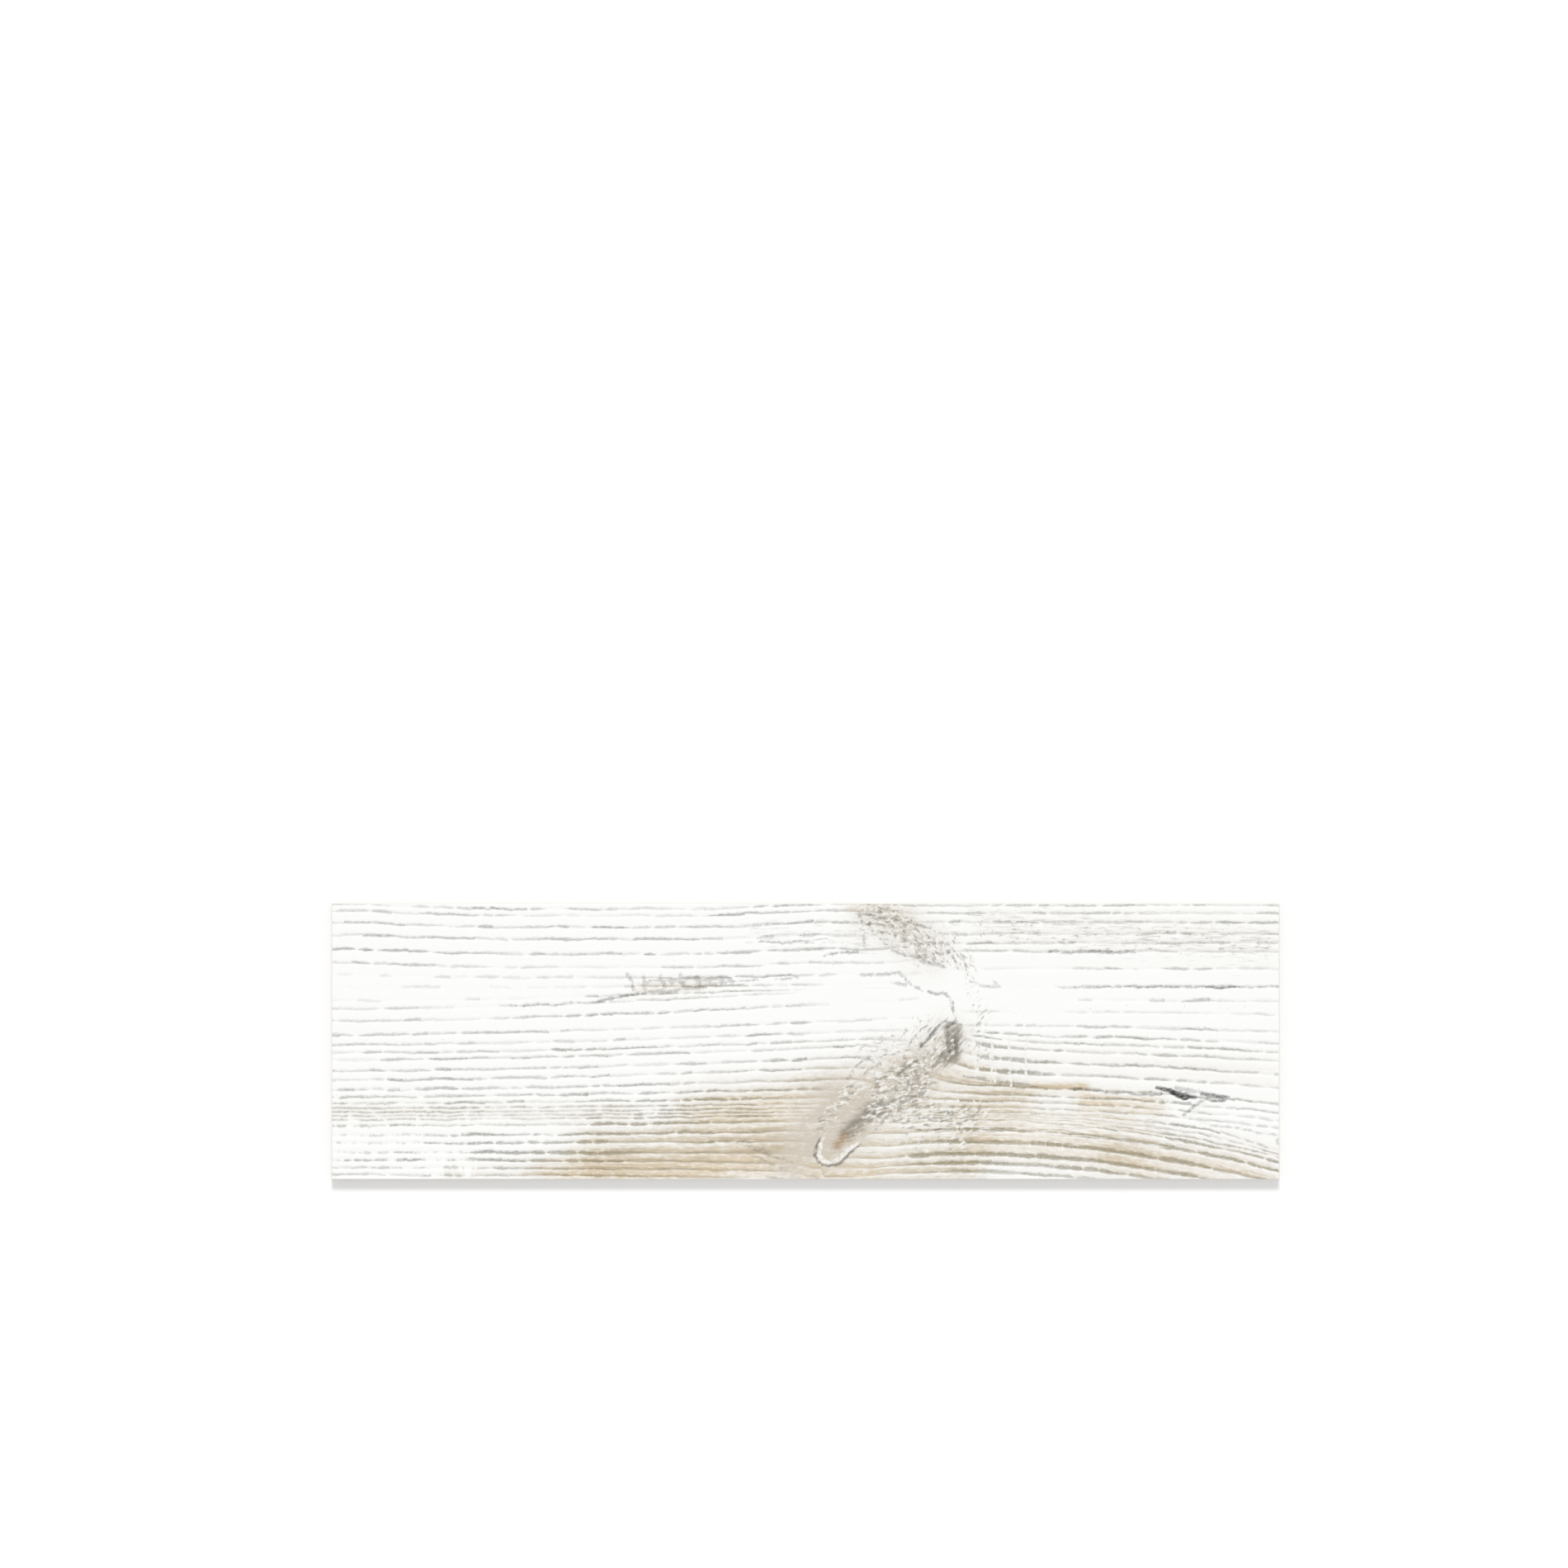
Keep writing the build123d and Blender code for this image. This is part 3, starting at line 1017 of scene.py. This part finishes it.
# %% [markdown]
# A knot is denser wood: grey-brown, dusky along its edges, rusty at its heart, and broken up by flecks that
# lie along its fibres, pale ones first and dark ones over them.

# %% Knots
KNOTWOOD = "#D2C9BB"
DUSK = "#8A8275"
HEARTWOOD = "#A5845F"
FLECK_PALE = "#F7F5EF"
FLECK_DARK = "#8C877D"
KNOT_SIZE = (16, 9)
DUSK_SIZE = (7, 2.4)
HEART_SIZE = (6, 3)
FLECK_PALE_SIZE = (4.6, 3.0)
FLECK_DARK_SIZE = (5, 2.2)
PALE_SHARE = 0.72
DARK_SHARE = 0.66

knot = wash_over(fleck_place, KNOT_SIZE, knotwood_at, 3)
dusk_streaks = streaks(fleck_place, DUSK_SIZE, dusk_at, 23, edge=0.4, cover=0.9)
heartwood = wash_over(fleck_place, HEART_SIZE, heart_at, 13)
pale_share = put(tree, "Math", {0: speckle_at, 1: PALE_SHARE}, operation="MULTIPLY")
pale_flecks = streaks(fleck_place, FLECK_PALE_SIZE, pale_share, 37, edge=0.16, detail=2)
dark_share = put(tree, "Math", {0: speckle_at, 1: DARK_SHARE}, operation="MULTIPLY")
dark_flecks = streaks(fleck_place, FLECK_DARK_SIZE, dark_share, 29, edge=0.18, cover=0.75, detail=2)
for cover, tint in ((knot, KNOTWOOD), (dusk_streaks, DUSK), (heartwood, HEARTWOOD),
                    (pale_flecks, FLECK_PALE), (dark_flecks, FLECK_DARK)):
    colour = put(tree, "Mix", {"Factor": cover, UNDER: colour, OVER: linear(tint)}, **BLEND)
print("knots laid:", len(tree.nodes), "nodes so far")

# %% [markdown]
# The single marks come next. Noise tears the edge of each stroke, less so on the darkest ones, which stay
# crisp, and wears gaps into the pale ones. Last of all, upright flakes of whitewash cover what lies below
# them, so that they break the lines as old paint does.

# %% Strokes and flakes of whitewash
CHAR = "#1E1C1A"
TEAR = (3.2, 3.2)
TEAR_DEPTH = 4.4
CRISP = {"From Min": 0.5, "From Max": 0.9, "To Min": 1, "To Max": 0.45}
DARK_EDGE = {"From Min": -0.6, "From Max": 0.8}
PALE_EDGE = {"From Min": -0.4, "From Max": 0.5}
WEAR = {"From Min": 0.38, "From Max": 0.5, "To Min": 0.25}
FLAKE_SIZE = (7, 22)

tear = noise_of(place, TEAR, 61)
tear_mm = put(tree, "Math", {0: tear, 1: TEAR_DEPTH, 2: -TEAR_DEPTH / 2}, operation="MULTIPLY_ADD")
tear_share = put(tree, "MapRange", {"Value": darkness_at, **CRISP})
dark_tear = put(tree, "Math", {0: tear_mm, 1: tear_share}, operation="MULTIPLY")
dark_inside = put(tree, "Math", {0: dark_at, 1: dark_tear}, operation="SUBTRACT")
dark_mark = put(tree, "MapRange", {"Value": dark_inside, **DARK_EDGE}, interpolation_type="SMOOTHSTEP")
dark_mark = put(tree, "Math", {0: dark_mark, 1: darkness_at}, operation="MULTIPLY")
dark_mark = put(tree, "Math", {0: dark_mark, 1: tooth}, operation="MULTIPLY", use_clamp=True)
pale_inside = put(tree, "Math", {0: pale_at, 1: tear_mm}, operation="SUBTRACT")
pale_mark = put(tree, "MapRange", {"Value": pale_inside, **PALE_EDGE}, interpolation_type="SMOOTHSTEP")
worn = put(tree, "MapRange", {"Value": noise_of(place, TEAR, 71), **WEAR})
pale_mark = put(tree, "Math", {0: pale_mark, 1: worn}, operation="MULTIPLY")
flakes = streaks(place, FLAKE_SIZE, flake_at, 41)
for cover, tint in ((dark_mark, CHAR), (pale_mark, FLECK_PALE), (flakes, WHITEWASH)):
    colour = put(tree, "Mix", {"Factor": cover, UNDER: colour, OVER: linear(tint)}, **BLEND)
print("strokes and flakes laid:", len(tree.nodes), "nodes so far")

# %% [markdown]
# A matt glaze scatters most of its shine, a little more so in the lines, where it lies thin. Its surface is
# finely gritty. Real grit is about 0.1 mm, which no render of the whole tile shows, so it is drawn coarser
# here. The lines get a fine groove too, which sharpens the pressed relief.

# %% Sheen and fine relief of the glaze
GRIT = 0.8
GRIT_SHARE = 0.25
GROOVE_SHARE = 0.6
FINE_RELIEF = 0.1
GLAZE_ROUGHNESS = 0.52
LINE_ROUGHNESS = 0.68
CERAMIC_IOR = 1.5

grit = put(tree, "TexNoise", {"Vector": place, "Scale": 1 / GRIT, "Detail": 2})
grooves = put(tree, "Math", {0: line, 1: -GROOVE_SHARE, 2: 1.0}, operation="MULTIPLY_ADD")
fine_height = put(tree, "Math", {0: grit, 1: GRIT_SHARE, 2: grooves}, operation="MULTIPLY_ADD")
bump = {"Height": fine_height, "Strength": 0.6, "Distance": FINE_RELIEF * MM}
normal = put(tree, "Bump", bump, out="Normal")
roughness = put(tree, "MapRange", {"Value": line, "To Min": GLAZE_ROUGHNESS, "To Max": LINE_ROUGHNESS})
finish = {"Base Color": colour, "Roughness": roughness, "Normal": normal, "IOR": CERAMIC_IOR}
tree.links.new(put(tree, "BsdfPrincipled", finish), end.inputs["Surface"])
print("printed glaze:", len(tree.nodes), "nodes")

# %% [markdown]
# ## Bare porcelain
# Below the glaze the tile is fired clay: pale, dense and matt. The ground sides show a thin white line of
# glaze and its undercoat at the top, and fine wheel marks along their length. The back keeps a dusting of the
# white wash that stops it sticking to the kiln rollers, mostly on the ribs. The grains of the clay and the
# wheel marks are finer than a tenth of a millimetre on a real tile, and are drawn coarser so that they show.

# %% Fired clay and wheel marks
CLAY = "#D6CFC2"
CLAY_GRAIN = "#B9B1A3"
UNDERCOAT = "#F4F2EC"
CLAY_GRAIN_SIZE = 1.2
WHEEL_MARK = (60, 60, 0.35)

body, tree, end = new_material("bare_pressed_porcelain")
coordinates = put(tree, "TexCoord", {}, out="Object")
place = put(tree, "VectorMath", {0: coordinates, "Scale": 1 / MM}, operation="SCALE")
up = put(tree, "SeparateXYZ", {0: place}, out="Z")
grain = put(tree, "TexNoise", {"Vector": place, "Scale": 1 / CLAY_GRAIN_SIZE, "Detail": 3, "Roughness": 0.7})
grain_cover = put(tree, "MapRange", {"Value": grain, "From Min": 0.56, "From Max": 0.72, "To Max": 0.7})
wheel_scale = [1 / size for size in WHEEL_MARK]
wheel_spot = put(tree, "Mapping", {"Vector": place, "Scale": wheel_scale})
wheel = put(tree, "TexNoise", {"Vector": wheel_spot, "Scale": 1, "Detail": 3, "Roughness": 0.7})
wheel_cover = put(tree, "MapRange", {"Value": wheel, "From Min": 0.45, "From Max": 0.75, "To Max": 0.25})
colour = linear(CLAY)
for cover, tint in ((grain_cover, CLAY_GRAIN), (wheel_cover, UNDERCOAT)):
    colour = put(tree, "Mix", {"Factor": cover, UNDER: colour, OVER: linear(tint)}, **BLEND)
print("clay laid:", len(tree.nodes), "nodes so far")

# %% Kiln wash on the back and glaze at the top
KILN_WASH = "#ECE9E2"
DUST_SIZE = 14
POCKET_DUST = 0.25
GLAZE_LAYER = 0.6
LAYER_BLUR = 0.1
CLAY_RELIEF = 0.08
CLAY_ROUGHNESS = 0.68
DUST_ROUGHNESS = 0.9

dust = put(tree, "TexNoise", {"Vector": place, "Scale": 1 / DUST_SIZE, "Detail": 5, "Roughness": 0.65})
dust_cover = put(tree, "MapRange", {"Value": dust, "From Min": 0.40, "From Max": 0.62, "To Max": 0.85})
rib_span = {"From Min": 0.05, "From Max": POCKET_DEPTH, "To Min": 1, "To Max": POCKET_DUST}
back_span = {"From Min": POCKET_DEPTH, "From Max": BACK_ARRIS, "To Min": 1, "To Max": 0}
for span in (rib_span, back_span):
    height_share = put(tree, "MapRange", {"Value": up, **span})
    dust_cover = put(tree, "Math", {0: dust_cover, 1: height_share}, operation="MULTIPLY")
layer_foot = THICKNESS - GLAZE_LAYER
layer_span = {"From Min": layer_foot - LAYER_BLUR, "From Max": layer_foot + LAYER_BLUR}
layer = put(tree, "MapRange", {"Value": up, **layer_span})
for cover, tint in ((dust_cover, KILN_WASH), (layer, UNDERCOAT)):
    colour = put(tree, "Mix", {"Factor": cover, UNDER: colour, OVER: linear(tint)}, **BLEND)
normal = put(tree, "Bump", {"Height": grain, "Strength": 0.5, "Distance": CLAY_RELIEF * MM}, out="Normal")
roughness = put(tree, "MapRange", {"Value": dust_cover, "To Min": CLAY_ROUGHNESS, "To Max": DUST_ROUGHNESS})
finish = {"Base Color": colour, "Roughness": roughness, "Normal": normal, "IOR": CERAMIC_IOR}
tree.links.new(put(tree, "BsdfPrincipled", finish), end.inputs["Surface"])
print("bare porcelain:", len(tree.nodes), "nodes")

# %% [markdown]
# Glaze covers the face alone, because grinding takes it off the arrises and sides. The face's points came
# first in the mesh, so a polygon made of only those is glazed.

# %% Give each face its finish
GLAZED = 0
BARE = 1

tile.data.materials.append(glaze)
tile.data.materials.append(body)
is_face = np.array([max(polygon.vertices) < FACE_POINTS for polygon in tile.data.polygons])
tile.data.polygons.foreach_set("material_index", np.where(is_face, GLAZED, BARE).astype(np.int32))
print(f"{is_face.sum()} glazed faces, {(~is_face).sum()} bare ones")

# %% [markdown]
# ## A map for textures
# Other programs want the print as a picture, and so a flat map of the whole tile: the face on the upper part,
# the back below it, and the four sides as strips at the foot. An automatic unwrap would cut the fine grid
# into many islands, while this one is a few flat projections with no overlap.

# %% Lay out the map
FACE_FOOT = 0.42
BACK_FOOT = 0.06
BACK_TOP = 0.40
STRIP = 0.010
STRIP_STEP = 0.013
DOWNWARD = -0.3
ENDWARD = 0.5

corner_points = np.empty(len(tile.data.loops), dtype=np.int32)
tile.data.loops.foreach_get("vertex_index", corner_points)
sizes = np.array([polygon.loop_total for polygon in tile.data.polygons])
normals = np.array([polygon.normal for polygon in tile.data.polygons]).repeat(sizes, axis=0)
x, y, z = points[corner_points].T
u = x / LENGTH + 0.5
v = y / WIDTH + 0.5
on_face = is_face.repeat(sizes)
on_back = normals[:, 2] < DOWNWARD
on_side = ~on_face & ~on_back
on_end = np.abs(normals[:, 0]) > ENDWARD
strip_number = np.where(on_end, 2 + (x > 0), y > 0)
map_v = np.where(on_back, BACK_FOOT + v * (BACK_TOP - BACK_FOOT), FACE_FOOT + v * (1 - FACE_FOOT))
map_v = np.where(on_side, strip_number * STRIP_STEP + z / THICKNESS * STRIP, map_v)
map_u = np.where(on_side & on_end, y / LENGTH + 0.5, u)
texture_map = tile.data.uv_layers.new(name="OFBake")
texture_map.data.foreach_set("uv", np.column_stack((map_u, map_v)).astype(np.float32).ravel())
print(f"map: {on_face.mean():.0%} of the corners on the face")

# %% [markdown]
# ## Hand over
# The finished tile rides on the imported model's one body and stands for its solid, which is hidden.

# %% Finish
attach(tile, "root")
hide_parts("tile")
